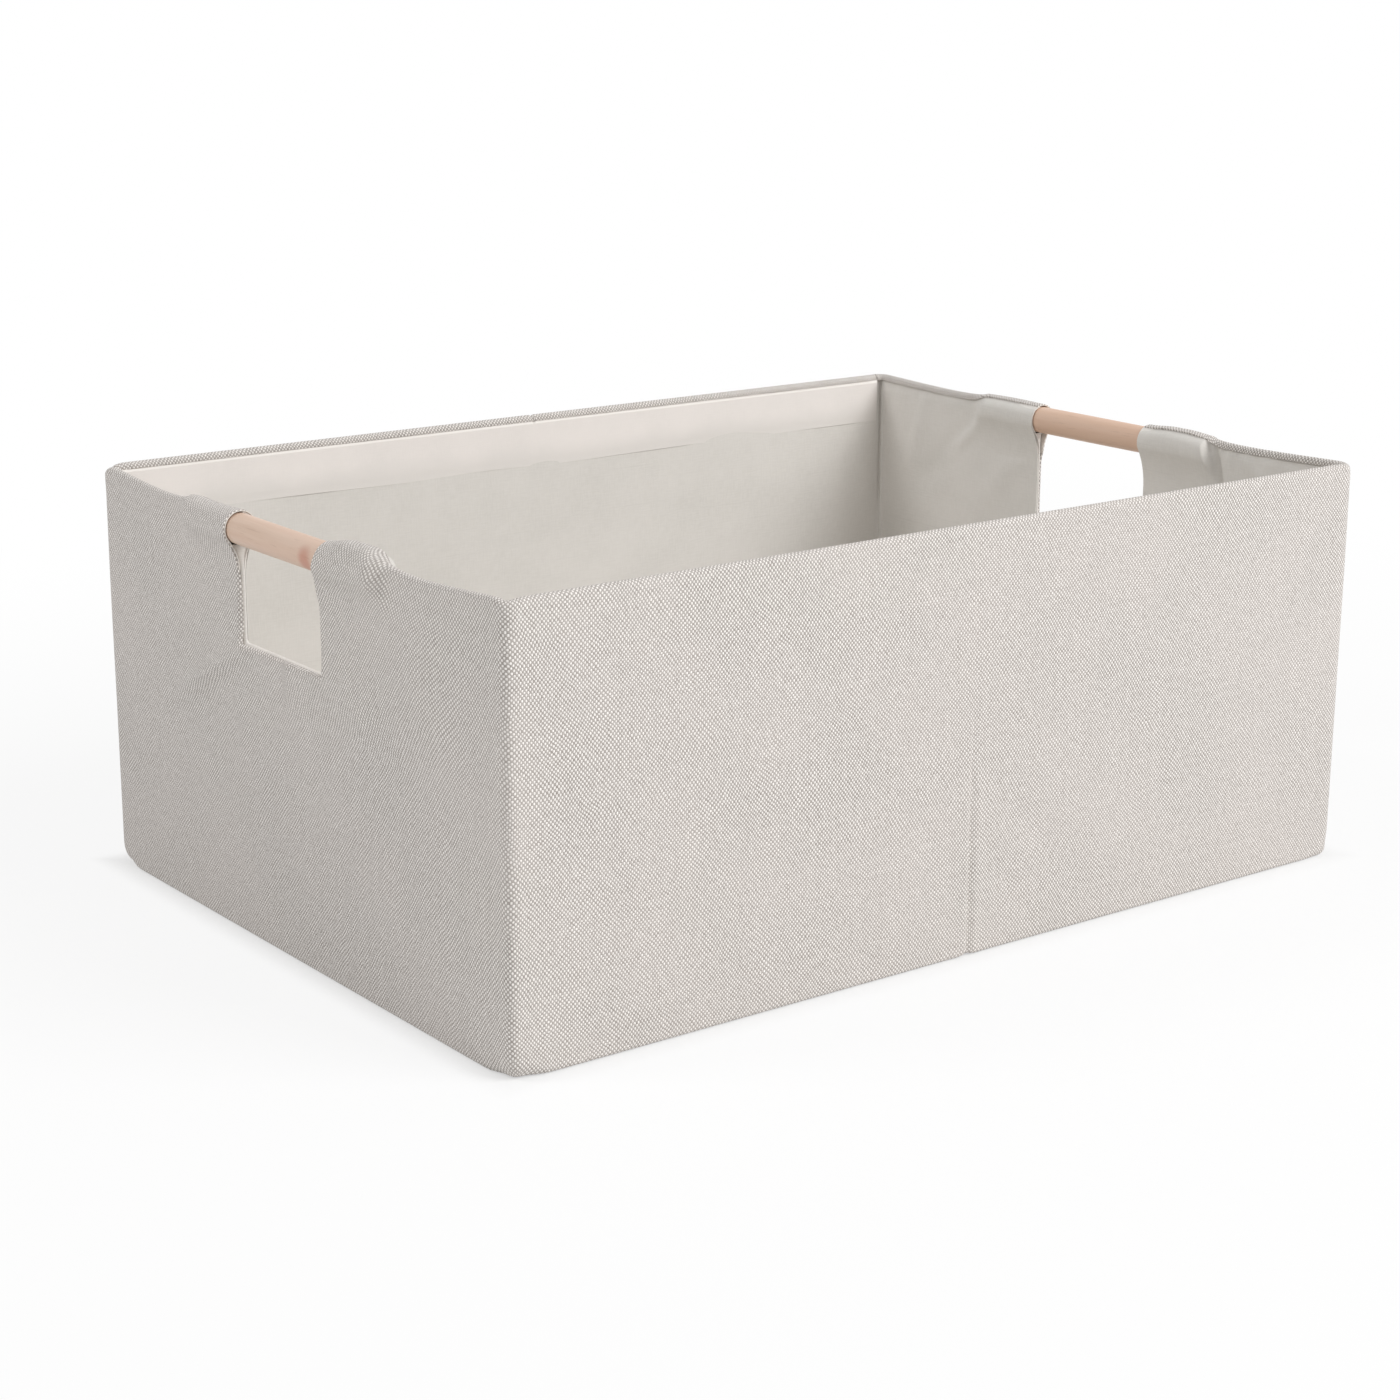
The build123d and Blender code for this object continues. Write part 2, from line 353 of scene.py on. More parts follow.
def drooped(s, z):
    """How far the rim has sunk at a corner."""
    sunk = np.zeros_like(s)
    for middle, depth in zip(arc_middles, corner_droop):
        near = np.abs((s - middle + girth / 2) % girth - girth / 2)
        sunk += depth * np.exp(-((near / droop_width) ** 2))
    return sunk * ease(z, height - 14 * MM, height - 1 * MM)


def lifted(x, y, z):
    """How far a sleeve stands up along its middle."""
    lift = sum(rise * (side * x > 0) * (toward * y > 0) for (side, toward), rise in sleeve_lift.items())
    fall = np.where((x < 0) & (y < 0), lift_fall["near left"], lift_fall["others"])
    along = ease(np.abs(y), *lift_rise) * (1 - ease(np.abs(y), fall, lift_end))
    return lift * along * ease(z, rod_z - 3 * MM, height)


def slumped(x, y, z):
    """How far the loose near edge of the left opening has crept into it."""
    beside = np.exp(-(((y - slump_at) / slump_width) ** 2)) * (x < -corner_x)
    from_below = ease(z, opening_bottom - 26 * MM, opening_bottom)
    return slump * beside * from_below * (1 - ease(z, height - 20 * MM, height - 3 * MM))


def lipped(y, z):
    """How far in the cloth is rolled at the edge of a hand opening, as a soft quarter round."""
    away = np.hypot(np.maximum(np.abs(y) - opening_half, 0), np.maximum(opening_bottom - z, 0))
    t = np.clip(1 - away / lip_radius, 0, 1)
    return lip_radius * (1 - np.sqrt(1 - 0.98 * t * t)) * (1 - ease(z, shoulder - 4 * MM, shoulder + 3 * MM))


def drift(s, z):
    """The slight waves that a sewn cloth keeps over a stiff board, none at the corner where layers slide."""
    still = np.exp(-(((s - arc_middles[2]) / (14 * MM)) ** 4))
    waves = np.sin(31 * s + 9 * z)
    waves += 0.7 * np.sin(53 * s - 47 * z + 1.3)
    waves += 0.5 * np.sin(97 * s + 71 * z + 0.4)
    return 0.09 * MM * waves * (1 - still)


def creased(x, z, depth):
    """The valley pressed into a long wall at its middle, sharper on its left side."""
    valley = np.exp(-((x / np.where(x < 0, 0.9 * MM, 2.3 * MM)) ** 2))
    lips = 0.42 * np.exp(-((x / (6 * MM)) ** 2))
    return depth * (lips - valley) * (0.1 + 0.9 * (1 - ease(z, *crease_fade)))


left_pulls = [
    ((0.030, 0.117), (0.084, 0.091), 4 * MM, 2.4 * MM),
    ((0.036, 0.102), (0.084, 0.078), 6 * MM, -0.7 * MM),
    ((0.036, 0.116), (0.062, 0.128), 6 * MM, 0.4 * MM),
    ((-0.036, 0.116), (-0.075, 0.100), 8 * MM, 0.8 * MM),
    ((-0.078, 0.160), (-0.110, 0.128), 9 * MM, -0.5 * MM),
    ((0.078, 0.160), (0.108, 0.120), 9 * MM, -0.5 * MM),
]
right_pulls = [
    ((-0.045, 0.108), (-0.105, 0.084), 6 * MM, 0.6 * MM),
    ((0.036, 0.116), (0.080, 0.096), 8 * MM, 0.6 * MM),
    ((-0.078, 0.160), (-0.112, 0.125), 9 * MM, -0.5 * MM),
    ((0.078, 0.160), (0.104, 0.122), 9 * MM, -0.5 * MM),
]
front_pulls = [
    ((0.012, 0.066), (0.064, 0.014), 6 * MM, -0.40 * MM),
    ((0.006, 0.046), (0.034, 0.010), 5 * MM, -0.35 * MM),
    ((0.026, 0.072), (0.086, 0.020), 7 * MM, 0.25 * MM),
    ((-0.190, 0.020), (-0.120, 0.012), 9 * MM, 0.3 * MM),
]


def lengths_up(places, z, high):
    """Lengths along a cloth's columns: heights up to a row, then the run round the rim or the rod."""
    steps = np.linalg.norm(np.diff(places[high - 1:], axis=0), axis=-1)
    return np.vstack([z[:high], z[high - 1] + np.cumsum(steps, axis=0)])


def cover_places(columns, inset):
    """The outer cloth at these columns: its places, and its lengths up the wall."""
    face = lines((bottom_round, 1.5 * MM), (0.02, 3 * MM), (opening_bottom - 2.4 * MM, 0.4 * MM),
                 (opening_bottom, 2.5 * MM), (shoulder, 1))[1:]
    rows = len(bottom_rows) + len(face) + len(upper_rows) - 1
    x, y, out_x, out_y = (np.tile(line, (rows, 1)) for line in around(columns))
    s = np.tile(columns, (rows, 1))
    low, high = len(bottom_rows), len(bottom_rows) + len(face)
    out, z = np.zeros_like(s), np.zeros_like(s)

    reach, rise, crisp = np.full_like(s, bottom_round), np.full_like(s, bottom_round), np.zeros_like(s)
    for middle, sideways, upward, ridge in zip(arc_middles, corner_reach, corner_rise, corner_crisp):
        near = np.abs((s - middle + girth / 2) % girth - girth / 2)
        rounded = np.exp(-((near / (11 * MM)) ** 4))
        reach += (sideways - bottom_round) * rounded
        rise += (upward - bottom_round) * rounded
        crisp += ridge * np.exp(-((near / (2.6 * MM)) ** 2))
    angle = bottom_rows[:, None]
    out[:low] = reach[:low] * (np.sin(angle) - 1)
    z[:low] = rise[:low] * (1 - np.cos(angle))
    z[low:high] = face[:, None]
    z[low:high] += (rise - bottom_round)[low:high] * (1 - ease(z[low:high], bottom_round, 14 * MM))

    u = upper_rows[1:, None]
    sleeve = sleeved(x, y)[high:] * (np.abs(x[high:]) > corner_x)
    beside = np.minimum(ease(corner_x - np.abs(x[high:]), 0, 8 * MM), 1)
    plain = over_rim(u, wall_thick + rim_proud[0] + (rim_proud[1] - rim_proud[0]) * beside)
    rolled = round_rod(u, cover_radius, cover_past_top)
    under = np.broadcast_to(inset, columns.shape)
    narrow = 1 - 2 * under / (wall_thick + rim_proud[0])
    out[high:] = plain[0] * narrow + (rolled[0] - plain[0]) * sleeve
    z[high:] = plain[1] + (rolled[1] - plain[1]) * sleeve
    at_end = np.abs(x) > corner_x + 1e-6
    z += at_end * lifted(x, y, z)
    z -= at_end * sagged(x, y, z) + drooped(s, z) + under * ease(z, height - 20 * MM, height - 2 * MM)

    steady = ease(z, 0.0, 8 * MM) * (1 - ease(z, height - 12 * MM, height - 3 * MM))
    on_front = (np.abs(y + half_depth) < 1e-6) & (np.abs(x) < corner_x)
    on_back = (np.abs(y - half_depth) < 1e-6) & (np.abs(x) < corner_x)
    move = drift(s, z) * steady
    move += on_front * creased(x, z, 1.15 * MM) + on_back * creased(-x, z, 0.6 * MM)
    move += crisp * ease(z, 2 * MM, 12 * MM)
    pulled = [(left_pulls, x < -corner_x, y), (right_pulls, x > corner_x, y), (front_pulls, on_front, x)]
    for pulls, here, across in pulled:
        for start, end, width, lift in pulls:
            move += here * steady * swell(across, z, start, end, width, lift)
    move = np.maximum(move, -0.75 * MM)
    out += move * (1 - 0.75 * ease(z, height - 6 * MM, height)) - inset - at_end * lipped(y, z)
    z += (on_front | on_back) * 0.6 * MM * np.exp(-((x / (3.5 * MM)) ** 2)) * (1 - ease(z, 0, 12 * MM))
    nick = on_back * np.exp(-((x / (0.7 * MM)) ** 2)) * ease(z, height - 4 * MM, height - 2 * MM)
    z -= 0.8 * MM * nick
    out += 0.9 * MM * nick * ease(-out, wall_thick / 2, wall_thick)
    places = np.stack([x + out_x * out, y + out_y * out + slumped(x, y, z), z], -1)
    fold_in = reach[0] + under
    turn = np.maximum(turned_under * (under == 0), fold_in + 0.2 * MM)
    inner_edge = np.stack([x[0] - out_x[0] * turn, y[0] - out_y[0] * turn, np.zeros_like(turn)], -1)
    length_up = np.vstack([(fold_in - turn)[None], lengths_up(places, z, high)])
    return np.vstack([inner_edge[None], places]), length_up


def gained(places, columns):
    """The extra length that a row takes over the sleeves and lips of an end, from beside its opening."""
    x, y = around(columns)[:2]
    extra = np.linalg.norm(np.diff(places, axis=1), axis=-1) - np.diff(columns)
    extra = np.hstack([np.zeros((len(places), 1)), np.cumsum(extra, axis=1)])
    beside = opening_half + 2.4 * MM
    near, far = np.argmin(np.abs(y + beside)), np.argmin(np.abs(y - beside))
    start = np.where(y < 0, extra[:, [near]], extra[:, [far]])
    at_end = (np.abs(x) > corner_x) * (1 - ease(np.abs(y), sleeve_stop + 10 * MM, end_seam - 2 * MM))
    return (extra - start) * at_end


def outer_cloth(name, columns, behind):
    """One length of the outer cloth, with the hand opening cut out of it where it crosses one."""
    tucked = 0.0
    if name.startswith("back"):
        tucked = underlap_tuck * (1 - ease(columns, last_corner, last_corner + 0.7 * MM))
    places, length_up = cover_places(columns, tucked)
    flat = np.stack([columns - behind + gained(places, columns), length_up], -1)
    middle_y = around((columns[1:] + columns[:-1]) / 2)[1]
    middle_z = (length_up[1:, :] + length_up[:-1, :])[:, :-1] / 2
    cut = (np.abs(middle_y) < opening_half) & (middle_z > opening_bottom)
    return sheet_mesh(name, places, flat, ~cut, cover_thick)


def end_columns(middle):
    """Grid lines across one end, from 12 mm past its first corner to 12 mm before its last."""
    half, stop = opening_half, sleeve_stop
    stops = [(-end_seam, 3), (-stop - 16 * MM, 1), (-stop - 12 * MM, 0.5), (-stop + 4 * MM, 1)]
    stops += [(-stop + 6 * MM, 2), (-half - 2.4 * MM, 0.4), (-half, 4), (half, 0.4), (half + 2.4 * MM, 2)]
    stops += [(stop - 6 * MM, 1), (stop - 4 * MM, 0.5), (stop + 12 * MM, 1), (stop + 16 * MM, 3)]
    stops += [(end_seam, 3)]
    return lines(*[(middle + y, step * MM) for y, step in stops])


front_seam, corner_seam, end_seam = -0.012, 0.198, 0.138
first_corner, last_corner = leg_starts[1], leg_starts[3]
near_corner = lines((end_seam, 2 * MM), (corner_y, 0.9 * MM), (first_corner, 2 * MM),
                    (first_corner + 0.01, 4 * MM), (s_front(front_seam), 1))
front_crease = lines((s_front(front_seam), 1.5 * MM), (s_front(-0.005), 0.4 * MM),
                     (s_front(0.006), 1.5 * MM), (s_front(0.03), 4 * MM), (s_front(corner_seam), 1))
right_wrap = np.concatenate([
    lines((s_front(corner_seam), 2 * MM), (s_front(corner_x), 0.9 * MM), (leg_starts[2], 2 * MM),
          (s_right(-end_seam), 1))[:-1],
    end_columns(s_right(0)),
    lines((s_right(end_seam), 2 * MM), (s_right(corner_y), 0.9 * MM), (last_corner, 1))[1:],
])
left_wrap = np.concatenate([
    lines((s_back(front_seam), 4 * MM), (s_back(-0.194), 2 * MM), (s_back(-corner_x), 0.9 * MM),
          (girth - corner_y, 2 * MM), (girth - end_seam, 1))[:-1],
    end_columns(girth),
])
back_crease = lines((last_corner, 0.25 * MM), (last_corner + 1 * MM, 1 * MM), (s_back(0.194), 4 * MM),
                    (s_back(0.03), 1.5 * MM), (s_back(0.006), 0.4 * MM), (s_back(-0.005), 1.5 * MM),
                    (s_back(front_seam), 1))
underlap = lines((last_corner - 0.56 * arc_run, 0.9 * MM), (last_corner, 1))[:-1]
back_crease = np.concatenate([underlap, back_crease])


def linen(wire):
    """Plain weave drawn from the cloth's flat lengths: round yarns that pass over and under each other, with
    painted shade at their sides and in the hollows between them.
    """
    warp_pitch = girth / (2 * round(girth / (1.61 * MM)))
    weft_pitch = 0.916 * MM
    flat = wire.node("ShaderNodeUVMap", {"uv_map": "cloth"})
    warp_wander = flat.noise(330, 3, 0.6) * 0.6 + flat.noise(112, 1) * 1.4 + flat.noise(33, 1) * 4.5
    weft_wander = flat.noise(290, 3, 0.6) * 0.6 + flat.noise(127, 1) * 1.4 + flat.noise(29, 1) * 4.5
    drawn = wire.node("ShaderNodeSeparateXYZ", (), {0: flat})
    warp = drawn * (1 / warp_pitch) + warp_wander
    weft = drawn.output(1) * (1 / weft_pitch) + weft_wander
    warp_yarn, weft_yarn = warp.math("FLOOR"), weft.math("FLOOR")
    in_warp, in_weft = warp - warp_yarn - 0.5, weft - weft_yarn - 0.5
    over = ((warp_yarn + weft_yarn) * 0.5).math("FRACT") * 2
    cross = in_warp + (in_weft - in_warp) * over
    along = in_weft + (in_warp - in_weft) * over
    crown = (1 - cross * cross * 3.0) * (1 - along * along * 1.8)
    chosen = warp_yarn + (weft_yarn + 731 - warp_yarn) * over
    one_way = {"noise_dimensions": "1D"}
    shade = wire.node("ShaderNodeTexWhiteNoise", one_way, {"W": chosen})
    spot = wire.node("ShaderNodeTexWhiteNoise", one_way, {"W": warp_yarn * 3.17 + weft_yarn * 41.7})
    slub = flat.noise(420, 2, 0.6).step(0.35, 0.75)
    tone = shade * 0.04 + spot * 0.14 + slub * 0.12 + over * 0.7
    yarn = tone.mix((1.0, 0.965, 0.925, 1), (0.32, 0.285, 0.26, 1))
    cloud = flat.noise(16, 3, 0.55).step(0.3, 0.7)
    yarn = (cloud * 0.25).mix(yarn, (0.80, 0.735, 0.70, 1))
    # Away from each yarn's crown the colour falls to a dark brown: painted shade at the round yarns' sides
    # and in the gaps between them.
    color = crown.step(0.0, 0.75).mix((0.35, 0.315, 0.285, 1), yarn)
    relief = crown + slub * 0.15
    bump = wire.node("ShaderNodeBump", (), {"Strength": 0.55, "Distance": 0.35 * MM, "Height": relief})
    return {"Base Color": color, "Normal": bump}


oatmeal = finish("oatmeal_linen", linen, roughness=0.92, specular_ior_level=0.2, sheen_weight=0.12,
                 sheen_roughness=0.5)
front_left_bend = ((-half_length, -corner_y, 0), (-corner_x, -half_depth, 0))
front_right_bend = ((corner_x, -half_depth, 0), (half_length, -corner_y, 0))
back_left_bend = ((-half_length, corner_y, 0), (-corner_x, half_depth, 0))
bend = 3 * MM
front_bend = ((-bend, -half_depth, 0), (bend, -half_depth, 0))
back_bend = ((-bend, half_depth, 0), (bend, half_depth, 0))
wall_lengths = [
    ("front_left", near_corner, 0, ("left_end", "front_left_wall"), front_left_bend, ["front_left"]),
    ("front_right", front_crease, 0, ("front_left_wall", "front_right_wall"), front_bend, ["front_right"]),
    ("right_end", right_wrap, 0, ("front_right_wall", "right_end"), front_right_bend, ["right_end"]),
    ("back_right", back_crease, girth, ("back_left_wall", "back_right_wall"), back_bend, ["back_right"]),
    ("left_end", left_wrap, girth, ("left_end", "back_left_wall"), back_left_bend,
     ["left_end", "back_left"]),
]
for name, columns, behind, (first, second), (start, end), nodes in wall_lengths:
    piece = outer_cloth(f"{name}_outer_cloth", columns, behind)
    piece.data.materials.append(oatmeal)
    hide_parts(*[f"{node}_cover" for node in nodes])
    columns[-1] - columns[0]
    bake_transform(piece)


# Lining: a smooth off-white cloth inside all the walls, cut and sewn like the cover and caught under
# its turned rim. At the ends it goes up round the inner side of the rods, so that cover and lining
# make the sleeves.
lining_thick = 0.45 * MM
lining_radius = rod_radius + 1.1 * MM
lining_flare = 36 * MM
lining_bottom = 2.6 * MM
lining_short_of_top = math.radians(12)
lining_top = height - 1.8 * MM
tuck = 1.0 * MM
fold_slant = 0.32
fold_run = (1.5 * MM, 2.5 * MM)
inner_pulls = {
    -1: [
        ((-0.076, 0.164), (-0.082, 0.120), 2.5 * MM, 0.7 * MM),
        ((0.076, 0.160), (0.104, 0.128), 5 * MM, 0.7 * MM),
        ((0.045, 0.105), (0.100, 0.070), 9 * MM, 0.5 * MM),
    ],
    1: [
        ((-0.0750, 0.168), (-0.0825, 0.141), 1.2 * MM, -2.6 * MM),
        ((-0.0825, 0.143), (-0.0870, 0.116), 1.6 * MM, -2.0 * MM),
        ((-0.0690, 0.158), (-0.0780, 0.118), 3.2 * MM, 2.4 * MM),
        ((-0.052, 0.160), (-0.066, 0.126), 5.0 * MM, -1.2 * MM),
        ((0.064, 0.163), (0.100, 0.134), 3.5 * MM, 1.9 * MM),
        ((0.076, 0.156), (0.122, 0.116), 6 * MM, -1.7 * MM),
        ((0.112, 0.164), (0.124, 0.128), 4 * MM, 1.6 * MM),
        ((0.044, 0.146), (0.072, 0.118), 6 * MM, 1.2 * MM),
        ((-0.094, 0.162), (-0.130, 0.142), 3 * MM, 1.5 * MM),
        ((-0.088, 0.146), (-0.118, 0.122), 4 * MM, -1.3 * MM),
    ],
}


def lining_places(columns):
    """The lining at these columns: its places, and its lengths up the wall."""
    start = rod_z - pinch(lining_radius, lining_flare)[0]
    face = lines((lining_bottom, 4 * MM), (opening_bottom, 2.5 * MM), (start, 1))
    high, rows = len(face), len(face) + len(upper_rows) - 1
    x, y, out_x, out_y = (np.tile(line, (rows, 1)) for line in around(columns))
    s = np.tile(columns, (rows, 1))
    inward, z = np.zeros_like(s), np.zeros_like(s)
    z[:high] = face[:, None]
    u = upper_rows[1:, None]
    at_end = np.abs(x) > corner_x + 1e-6
    radius = lining_radius - 0.6 * MM * ease(u, 0.78, 0.95)
    rolled = round_rod(u, radius, -lining_short_of_top, lining_flare)
    slant = fold_slant * np.maximum(lining_top - rolled[1], 0) * ((x > 0) & (y < 0))[high:]
    folded = sleeved(x[high:], y[high:] + slant, 1, fold_run)
    sleeve = np.where(x[high:] > 0, folded, sleeved(x[high:], y[high:])) * at_end[high:]
    inward[high:] = rolled[0] * sleeve
    z[high:] = start + u * (lining_top - start) * (1 - sleeve) + (rolled[1] - start) * sleeve
    z += at_end * lifted(x, y, z)
    z -= at_end * sagged(x, y, z) + drooped(s, z)
    flat_wall = 1 - np.vstack([np.zeros_like(z[:high]), sleeve])
    inward -= tuck * ease(z, lining_top - 6 * MM, lining_top - 1 * MM) * flat_wall
    move = 1.6 * drift(1.3 * s + 0.2, z)
    seam = s - arc_middles[2]
    move += 1.0 * MM * np.exp(-(((seam + 2.6 * MM) / (1.2 * MM)) ** 2))
    move -= 1.2 * MM * np.exp(-((seam / (1.3 * MM)) ** 2))
    for side, pulls in inner_pulls.items():
        for first, last, width, lift in pulls:
            move += (side * x > corner_x) * swell(y, z, first, last, width, lift) * (0.3 + 0.7 * flat_wall)
    pucker = np.sin(430 * s + 3 * np.sin(90 * s)) * ease(z, height - 16 * MM, height - 8 * MM)
    move += at_end * 0.3 * MM * pucker * flat_wall
    steady = ease(z, lining_bottom, 0.02) * (1 - ease(z, lining_top - 3 * MM, lining_top))
    on_board = (1 - at_end) + at_end * (1 - ease(z, opening_bottom - 14 * MM, opening_bottom - 6 * MM))
    inward += np.maximum(move, -0.45 * MM - 2.3 * MM * (1 - on_board)) * steady
    out = -wall_thick - inward
    places = np.stack([x + out_x * out, y + out_y * out + slumped(x, y, z), z], -1)
    return places, lengths_up(places, z, high)


def threads(flat):
    """Fine threads that cross."""
    upright = flat.noise(1500, 2, 0.6, stretch=(1, 0.12, 1))
    level = flat.noise(1500, 2, 0.6, stretch=(0.12, 1, 1))
    return upright * 0.5 + level * 0.5


def off_white(wire):
    """Fine close weave, hardly visible, with a soft mottle and a few heavier threads."""
    flat = wire.node("ShaderNodeUVMap", {"uv_map": "cloth"})
    thread = threads(flat)
    heavy = flat.noise(700, 2, 0.5, stretch=(0.02, 1, 1)).step(0.62, 0.8)
    mottle = flat.noise(22, 4, 0.55).step(0.25, 0.75)
    cloth = mottle.mix((0.685, 0.66, 0.62, 1), (0.75, 0.72, 0.68, 1))
    color = (thread.step(0.35, 0.65) * 0.35).mix(cloth, (0.82, 0.795, 0.76, 1))
    color = (heavy * 0.25).mix(color, (0.60, 0.575, 0.54, 1))
    relief = thread + heavy * 0.3
    bump = wire.node("ShaderNodeBump", (), {"Strength": 0.25, "Distance": 0.15 * MM, "Height": relief})
    return {"Base Color": color, "Normal": bump}


smooth_lining = finish("off_white_lining", off_white, roughness=0.88, specular_ior_level=0.25,
                       sheen_weight=0.08)
for name, columns, behind, (first, second), (start, end), nodes in wall_lengths:
    places, length_up = lining_places(columns)
    flat = np.stack([np.tile(columns - behind, (len(places), 1)), length_up], -1)
    middle_y = around((columns[1:] + columns[:-1]) / 2)[1]
    middle_z = (length_up[1:] + length_up[:-1])[:, :-1] / 2
    cut = (np.abs(middle_y) < opening_half) & (middle_z > opening_bottom)
    piece = sheet_mesh(f"{name}_inner_cloth", places, flat, ~cut, -lining_thick)
    piece.data.materials.append(smooth_lining)
    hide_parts(*[f"{node}_lining" for node in nodes])
    columns[-1] - columns[0]
    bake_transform(piece)


# Hems: a facing band of the lining cloth along the inside of each long wall, 22 mm deep and a little pinker
# where two layers lie together. Its top is caught under the turned rim, and its lower edge lies free.
hem_low, hem_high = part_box("front_left_hem")
hem_face = half_depth + hem_high.y
hem_thick = 0.15 * MM
hem_end = corner_x - 0.4 * MM


def pink_hem(wire):
    """The lining's weave, doubled, so lighter and a little warmer."""
    flat = wire.node("ShaderNodeUVMap", {"uv_map": "cloth"})
    thread = threads(flat)
    mottle = flat.noise(30, 3, 0.5).step(0.3, 0.7)
    cloth = mottle.mix((0.84, 0.795, 0.76, 1), (0.88, 0.83, 0.795, 1))
    color = (thread.step(0.35, 0.65) * 0.35).mix(cloth, (0.91, 0.865, 0.83, 1))
    up = wire.node("ShaderNodeSeparateXYZ", (), {0: flat}, 1)
    # The band darkens towards its lower edge, to a tone near the lining's.
    lower_fade = (mottle * 4 * MM + up).step(hem_low.z + 2 * MM, hem_low.z + 15 * MM)
    color = lower_fade.mix((0.80, 0.765, 0.73, 1), color)
    color = up.step(height - 4.2 * MM, height - 3.6 * MM).mix(color, (0.99, 0.95, 0.91, 1))
    bump = wire.node("ShaderNodeBump", (), {"Strength": 0.25, "Distance": 0.15 * MM, "Height": thread})
    return {"Base Color": color, "Normal": bump}


hem_cloth = finish("pink_hem", pink_hem, roughness=0.88, specular_ior_level=0.25, sheen_weight=0.08)
for wall, place_on, bends in (("front", s_front, front_bend), ("back", s_back, back_bend)):
    spans = [(-hem_end, 3), (-bend, 0.75), (bend, 3), (hem_end, 1)]
    columns = lines(*[(place_on(x), step * MM) for x, step in spans])
    columns.sort()
    rows = lines((hem_low.z, 0.8 * MM), (hem_low.z + 4 * MM, 2.5 * MM), (height - 8 * MM, 0.8 * MM),
                 (height - 1.6 * MM, 1))
    s, z = np.meshgrid(columns, rows)
    x, y, out_x, out_y = (np.tile(line, (len(rows), 1)) for line in around(columns))
    free_edge = 1 - ease(z, hem_low.z, hem_low.z + 6 * MM)
    z = z + 0.35 * MM * np.sin(36 * s + 2 * np.sin(17 * s)) * free_edge
    out = -hem_face + 0.9 * MM * ease(z, height - 2.9 * MM, height - 2.0 * MM)
    out += 0.08 * MM * np.sin(60 * s + 90 * z)
    out += 0.36 * MM * free_edge
    z = z - 1.5 * MM * np.exp(-((x / (0.8 * MM)) ** 2)) * ease(z, height - 5 * MM, height - 2 * MM)
    places = np.stack([x + out_x * out, y + out_y * out, z], -1)
    piece = sheet_mesh(f"{wall}_hem_band", places, np.stack([s, z], -1), None, -hem_thick)
    piece.data.materials.append(hem_cloth)
    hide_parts(f"{wall}_left_hem", f"{wall}_right_hem")
    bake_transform(piece)


# Opening edges: a cream strip of cloth turned round the cut edge of each hand opening, between cover and
# lining. It shows as a thin light line down both sides and along the bottom, and round each sleeve's mouth.
edge_thick = 0.35 * MM
edge_corner = 2.0 * MM
mouth_depth = 12 * MM
mouth_proud = 0.45 * MM
mouth_thick = 0.25 * MM
mouth_radius = rod_radius + 0.5 * MM
edge_section = MM * np.array([
    (-1.3, -5.2), (-1.3, -3), (-1.5, -1), (-1.9, -0.3), (-2.2, 0.1), (-2.5, 0.3),
    (-2.85, 0.3), (-3.1, 0.05), (-3.0, -0.6), (-2.7, -1.2), (-2.55, -3), (-2.55, -5.2),
])


def cream_edge(wire):
    """Close cream cloth with a fine rib across the strip."""
    flat = wire.node("ShaderNodeUVMap", {"uv_map": "cloth"})
    rib = flat.noise(1300, 2, 0.5, stretch=(1, 0.15, 1)).step(0.3, 0.7)
    color = (rib * 0.6).mix((0.80, 0.765, 0.72, 1), (0.90, 0.87, 0.83, 1))
    bump = wire.node("ShaderNodeBump", (), {"Strength": 0.3, "Distance": 0.15 * MM, "Height": rib})
    return {"Base Color": color, "Normal": bump}


cream = finish("cream_edge", cream_edge, roughness=0.85, specular_ior_level=0.25)
side_top = rod_z - rod_radius - 0.4 * MM
turn = np.linspace(0, math.pi / 2, 7)
corner_at = opening_half - edge_corner
side_heights = lines((side_top, 1 * MM), (shoulder - 4 * MM, 2.5 * MM), (opening_bottom + edge_corner, 1))
level = np.zeros_like(side_heights)
left_side = np.stack([level - opening_half, side_heights, level + 1, level], -1)
left_turn = np.stack([-corner_at - edge_corner * np.cos(turn),
                      opening_bottom + edge_corner * (1 - np.sin(turn)), np.cos(turn), np.sin(turn)], -1)
half_edge = np.concatenate([left_side[:-1], left_turn])
other_half = half_edge[::-1] * (-1, 1, -1, 1)
across = np.linspace(-corner_at, corner_at, 26)[1:-1]
level = np.zeros_like(across)
edge_bottom = np.stack([across, level + opening_bottom, level, level + 1], -1)
edge_path = np.concatenate([half_edge, edge_bottom, other_half])
edge_steps = np.hypot(*np.diff(edge_path[:, :2], axis=0).T)
edge_run = np.concatenate([[0], np.cumsum(edge_steps)])
under_rod = np.linspace(0, 0.75, 60)
cover_swing = round_rod(under_rod, cover_radius, cover_past_top)
lining_swing = round_rod(under_rod, lining_radius, -lining_short_of_top, lining_flare)
outer_gap = np.interp(edge_path[:, 1], cover_swing[1], cover_swing[0])
inner_gap = np.interp(edge_path[:, 1], lining_swing[1], lining_swing[0])
